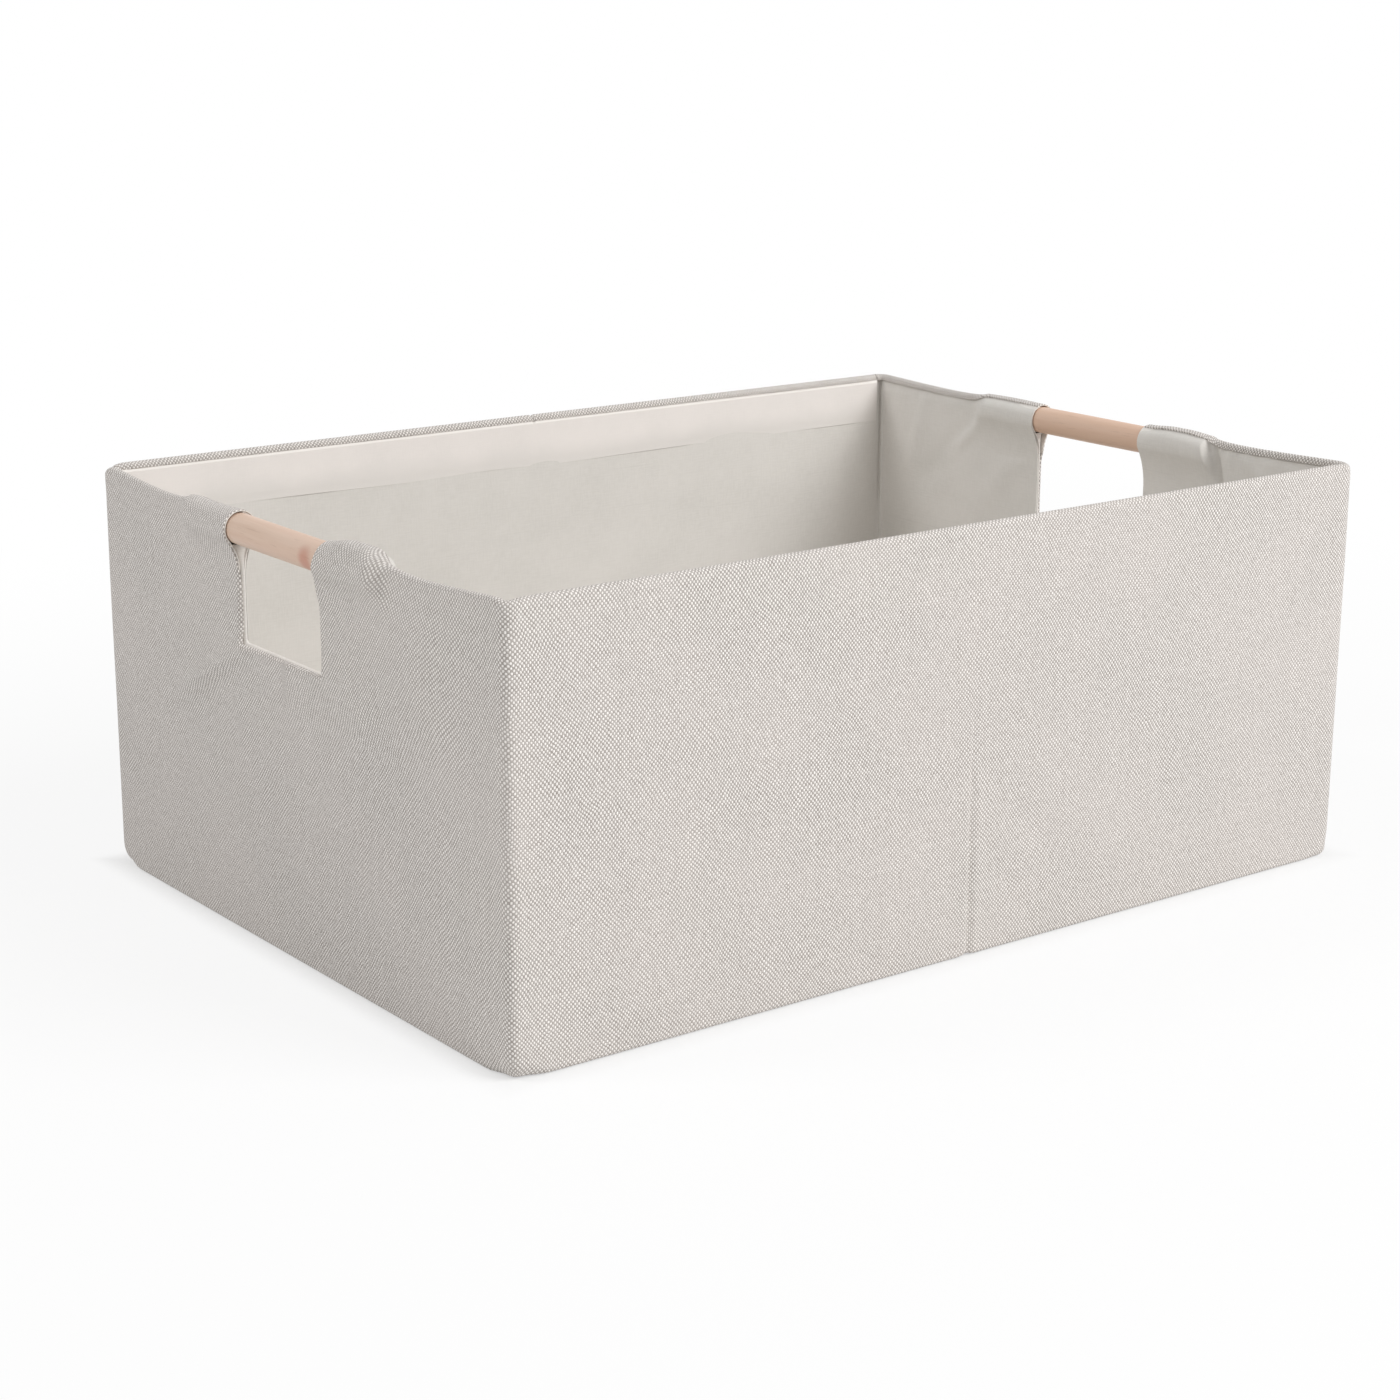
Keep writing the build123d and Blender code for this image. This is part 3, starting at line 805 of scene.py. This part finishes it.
for end, outward in (("left", -1), ("right", 1)):
    out, proud = edge_section[:, :1], edge_section[:, 1:]
    toward_cover = np.clip((out + 2.2 * MM) / (0.8 * MM), -1, 1)
    out = out + np.maximum(toward_cover, 0) * outer_gap + np.minimum(toward_cover, 0) * inner_gap
    proud = proud - 0.6 * outer_gap
    y = edge_path[:, 0] + edge_path[:, 2] * proud
    z = edge_path[:, 1] + edge_path[:, 3] * proud
    x = outward * (half_length + out + 0 * y)
    y = y + slumped(x, y, z)
    edge_width = np.concatenate([[0], np.cumsum(np.hypot(*np.diff(edge_section, axis=0).T))])
    flat = np.stack([edge_run + 0 * y, edge_width[:, None] + 0 * y], -1)
    piece = sheet_mesh(f"{end}_opening_edge", np.stack([x, y, z], -1), flat, None, outward * edge_thick)
    piece.data.materials.append(cream)
    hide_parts(f"{end}_opening_facing")
    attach(piece, f"{end}_end")
    for side, toward in (("front", -1), ("back", 1)):
        u = np.linspace(0, 1, 26)
        out, z = round_rod(u, mouth_radius, 0)
        out = out - 0.75 * MM * (1 - ease(u, 0.1, 0.5))
        out = np.concatenate([out, (-wall_thick - out)[::-1][1:]])
        z = np.concatenate([z, z[::-1][1:]])
        run = np.concatenate([[0], np.cumsum(np.hypot(np.diff(out), np.diff(z)))])
        depth = lines((-mouth_proud, 0.5 * MM), (1.5 * MM, 3 * MM), (mouth_depth, 1))[:, None]
        flare = 0.25 * MM * (1 - ease(depth, -mouth_proud, 0.6 * MM))
        x = outward * (half_length + out + 0 * depth)
        y = toward * (opening_half + depth + 0 * out)
        places = np.stack([x, y, z + flare * (z > rod_z)], -1)
        flat = np.stack([run + 0 * depth, depth + 0 * run], -1)
        behind = outward * toward * mouth_thick
        piece = sheet_mesh(f"{end}_{side}_sleeve_mouth", places, flat, None, behind)
        piece.data.materials.append(cream)
        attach(piece, f"{end}_end")


# Floor: outer cloth underneath, a felt pad, and lining cloth on top, all soft and sewn to the walls' foot.
# Each layer folds along six lines from the corners and the creases, so it is made as six flat leaves,
# a little above each other, that slide over one another when the walls fold in.
fold = math.radians(frame["joints"][0]["range_deg"][1])
tip = corner_x - corner_y / math.tan(fold) + 3 * MM
wall_foot = 3.2 * MM
leaf_lap = 1 * MM
end_leaf = [(corner_x, -corner_y), (tip, -3 * MM), (tip, 3 * MM), (corner_x, corner_y),
            (half_length - wall_foot, corner_y), (half_length - wall_foot, -corner_y)]
wall_leaf = [(0, -leaf_lap), (tip + 4 * MM, -leaf_lap), (corner_x + 1 * MM, corner_y - 1 * MM),
             (corner_x, half_depth - wall_foot), (0, half_depth - wall_foot)]


def grey_felt(wire):
    """Matted grey fibres."""
    place = wire.node("ShaderNodeTexCoord", output=3)
    fibres = place.noise(700, 4, 0.7)
    color = fibres.step(0.3, 0.7).mix((0.48, 0.46, 0.43, 1), (0.60, 0.58, 0.55, 1))
    bump = wire.node("ShaderNodeBump", (), {"Strength": 0.5, "Distance": 0.3 * MM, "Height": fibres})
    return {"Base Color": color, "Normal": bump}


felt = finish("grey_felt", grey_felt, roughness=0.95, specular_ior_level=0.1)


def leaf(name, outline, low, thick, material, body):
    """One flat leaf of a floor layer."""
    count = len(outline)
    points = [(x, y, z) for z in (low, low + thick) for x, y in outline]
    sides = [(i, (i + 1) % count, (i + 1) % count + count, i + count) for i in range(count)]
    faces = [tuple(range(count))[::-1], tuple(range(count, 2 * count)), *sides]
    mesh = bpy.data.meshes.new(name)
    mesh.from_pydata(points, [], faces)
    uv = mesh.uv_layers.new(name="cloth")
    for loop in mesh.loops:
        corner = mesh.vertices[loop.vertex_index].co
        uv.data[loop.index].uv = (corner.x, corner.y)
    mesh.update()
    piece = bpy.data.objects.new(name, mesh)
    bpy.context.scene.collection.objects.link(piece)
    mesh.materials.append(material)
    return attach(piece, body)


floor_layers = [
    ("bottom_outer_cloth", "bottom_cover", 0.75 * MM, 0.18 * MM, oatmeal, "oatmeal_linen"),
    ("bottom_felt", "bottom_pad", 1.5 * MM, 0.36 * MM, felt, "felt"),
    ("bottom_inner_cloth", "bottom_lining", 3.0 * MM, 0.16 * MM, smooth_lining, "lining_cloth"),
]
floor_leaves = [("left_end", end_leaf, -1, 1, 0), ("right_end", end_leaf, 1, 1, 0)]
floor_leaves += [(f"{wall}_{end}_wall", wall_leaf, outward, toward, level)
                 for wall, toward, level in (("front", -1, 1), ("back", 1, 2))
                 for end, outward in (("left", -1), ("right", 1))]
for layer, node, low, thick, material, slot in floor_layers:
    for body, outline, flip_x, flip_y, level in floor_leaves:
        corners = [(flip_x * x, flip_y * y) for x, y in outline]
        corners = corners if flip_x * flip_y > 0 else corners[::-1]
        piece = leaf(f"{layer}_{body}", corners, low + level * thick, thick * 0.9, material, body)
        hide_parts(node)
        width = max(x for x, _ in outline) - min(x for x, _ in outline)
        run = max(y for _, y in outline) - min(y for _, y in outline)
        area = abs(sum(a[0] * b[1] - b[0] * a[1] for a, b in zip(corners, corners[1:] + corners[:1]))) / 2


# Rods: two 12 mm beech dowels, sanded and left plain, with softly broken ends.
# Each one is pushed through its two sleeves and is held by their sewn outer ends.
rod_sides = 64
rod_rings = 45
rod_break = 0.8 * MM
straight_half = 0.066
knot_place = (-0.2140, -0.0250, 0.1615)


def beech(wire):
    """Pale rosy wood: long streaks, short dark pores along the grain, and a dark knot."""
    place = wire.node("ShaderNodeTexCoord", output=3)
    streak = place.noise(300, 3, 0.6, stretch=(1, 0.05, 1))
    band = place.noise(70, 2, 0.5, stretch=(1, 0.12, 1)).step(0.3, 0.7)
    pores = place.noise(1600, 1, 0.4, stretch=(1, 0.06, 1)).step(0.63, 0.75)
    wood = streak.step(0.3, 0.7).mix((0.745, 0.570, 0.458, 1), (0.672, 0.492, 0.378, 1))
    wood = (band * 0.5).mix(wood, (0.705, 0.497, 0.393, 1))
    # The right rod gets a redder tone: partly a tone of its own, partly painted light that makes up for the
    # shade it sits in.
    right_rod = wire.node("ShaderNodeSeparateXYZ", (), {0: place}).step(-0.01, 0.01)
    wood = (right_rod * 0.4).mix(wood, (0.775, 0.505, 0.355, 1))
    knot = wire.node("ShaderNodeVectorMath", {"operation": "DISTANCE"}, {0: place, 1: knot_place}, 1)
    wood = (knot + streak * 4 * MM).step(4.0 * MM, 8.5 * MM).mix((0.58, 0.31, 0.23, 1), wood)
    color = (pores * 0.2).mix(wood, (0.42, 0.27, 0.19, 1))
    relief = streak - pores * 0.5
    bump = wire.node("ShaderNodeBump", (), {"Strength": 0.25, "Distance": 0.1 * MM, "Height": relief})
    return {"Base Color": color, "Roughness": streak * 0.2 + 0.4, "Normal": bump}


dowel_wood = finish("sanded_beech", beech, specular_ior_level=0.35)
for end, outward in (("left", -1), ("right", 1)):
    breaks = np.linspace(0, math.pi / 2, 5)
    tip_y = rod_half - rod_break * (1 - np.sin(breaks))
    tip_radius = rod_radius - rod_break * (1 - np.cos(breaks[::-1]))
    ys = np.concatenate([-tip_y[::-1], np.linspace(-straight_half, straight_half, rod_rings), tip_y])
    radii = np.concatenate([tip_radius, np.full(rod_rings, rod_radius), tip_radius[::-1]])
    radii = radii + 0.03 * MM * np.sin(75 * ys + outward)
    angle = np.linspace(0, 2 * math.pi, rod_sides, endpoint=False)
    ring = np.stack([np.cos(angle), np.zeros(rod_sides), np.sin(angle)], -1)
    places = ring[None] * radii[:, None, None]
    axis_x = outward * (half_length - rod_inset)
    axis = np.stack([np.full_like(ys, axis_x), ys, np.full_like(ys, rod_z)], -1)
    places = places + axis[:, None]
    rings, points = len(ys), places.reshape(-1, 3)
    faces = [(r * rod_sides + i, r * rod_sides + (i + 1) % rod_sides,
              (r + 1) * rod_sides + (i + 1) % rod_sides, (r + 1) * rod_sides + i)
             for r in range(rings - 1) for i in range(rod_sides)]
    faces += [tuple(range(rod_sides))[::-1], tuple(range((rings - 1) * rod_sides, rings * rod_sides))]
    mesh = bpy.data.meshes.new(f"{end}_dowel")
    mesh.from_pydata(points.tolist(), [], faces)
    mesh.polygons.foreach_set("use_smooth", [True] * (len(faces) - 2) + [False] * 2)
    mesh.materials.append(dowel_wood)
    dowel = bpy.data.objects.new(f"{end}_dowel", mesh)
    bpy.context.scene.collection.objects.link(dowel)
    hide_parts(f"{end}_rod")
    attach(dowel, f"{end}_rod")


# Studio: a plain white floor that keeps the bin's soft shadow, a white surround, a large key lamp from the
# front right and a weaker one from the left.
def lamp(name, place, aim, size, power):
    """A large soft area lamp."""
    light = bpy.data.lights.new(name, "AREA")
    light.shape = "SQUARE"
    light.size = size
    light.energy = power
    stand = bpy.data.objects.new(name, light)
    bpy.context.scene.collection.objects.link(stand)
    stand.location = place
    stand.rotation_euler = (Vector(aim) - Vector(place)).to_track_quat("-Z", "Y").to_euler()
    return stand


def shown_white(wire):
    """1 where the camera, a glossy or a clear piece sees this, and 0 where it only lights the bin."""
    seen = wire.node("ShaderNodeLightPath")
    return (seen + seen.output("Is Glossy Ray") + seen.output("Is Transmission Ray")).math("MINIMUM", 1)


floor_half = 6.0
floor_mesh = bpy.data.meshes.new("studio_floor")
floor_mesh.from_pydata([(-floor_half, -floor_half, 0), (floor_half, -floor_half, 0),
                        (floor_half, floor_half, 0), (-floor_half, floor_half, 0)], [], [(0, 1, 2, 3)])
studio_floor = bpy.data.objects.new("studio_floor", floor_mesh)
studio_floor.location.z = -0.2 * MM
bpy.context.scene.collection.objects.link(studio_floor)
floor_paint = bpy.data.materials.new("white_floor")
floor_paint.use_nodes = True
tree = floor_paint.node_tree
tree.nodes.clear()
wire = Wire(tree)
white = shown_white(wire)
matt = wire.node("ShaderNodeBsdfDiffuse", (), {"Color": (0.9, 0.9, 0.9, 1)})
glow = wire.node("ShaderNodeEmission", (), {"Color": (1, 1, 1, 1), "Strength": 1.0})
place = wire.node("ShaderNodeTexCoord", output=3)
spread = wire.node("ShaderNodeSeparateXYZ", (), {0: place})
side_x = spread.math("ABSOLUTE") - half_length
side_y = spread.output(1).math("ABSOLUTE") - half_depth
away = side_x.math("MAXIMUM", side_y)
share = away.step(-2 * MM, 12 * MM) * 0.34 + away.step(0.15, 0.6) * 0.16 + 0.5
paint = wire.node("ShaderNodeMixShader", (), {0: white * share, 1: matt, 2: glow})
wire.node("ShaderNodeOutputMaterial", (), {"Surface": paint})
floor_mesh.materials.append(floor_paint)

world = bpy.data.worlds.new("white_surround")
bpy.context.scene.world = world
world.use_nodes = True
tree = world.node_tree
tree.nodes.clear()
wire = Wire(tree)
white = shown_white(wire)
ambient = 0.50
sky = wire.node("ShaderNodeBackground", (), {"Color": (1, 1, 1, 1), "Strength": ambient})
glow = wire.node("ShaderNodeBackground", (), {"Color": (1, 1, 1, 1), "Strength": 1.0})
paint = wire.node("ShaderNodeMixShader", (), {0: white, 1: sky, 2: glow})
wire.node("ShaderNodeOutputWorld", (), {"Surface": paint})
lamp("key_lamp", (1.3, -2.2, 2.0), (0, 0, 0.08), 1.8, 66)
lamp("left_lamp", (-2.1, 0.9, 2.0), (0, 0, 0.08), 0.8, 18)


# Camera: at the photograph's angle, a little above the rim, in front of the near left corner.
# Its place, turn and lens were fitted to the bin's corners in the photograph, with no shift.
view_azimuth, view_elevation, view_roll = math.radians(-37.18), math.radians(15.36), math.radians(0.245)
camera_place = Vector((-0.6990, -0.9007, 0.3824))
camera_data = bpy.data.cameras.new("camera")
camera_data.lens = 72.37
camera_data.sensor_width = 36
camera = bpy.data.objects.new("camera", camera_data)
bpy.context.scene.collection.objects.link(camera)
back = Vector((math.sin(view_azimuth) * math.cos(view_elevation),
               -math.cos(view_azimuth) * math.cos(view_elevation), math.sin(view_elevation)))
turned = back.to_track_quat("Z", "Y").to_matrix() @ Matrix.Rotation(view_roll, 3, "Z")
camera.matrix_world = Matrix.Translation(camera_place) @ turned.to_4x4()
bpy.context.scene.camera = camera
bpy.context.scene.view_settings.view_transform = "Standard"
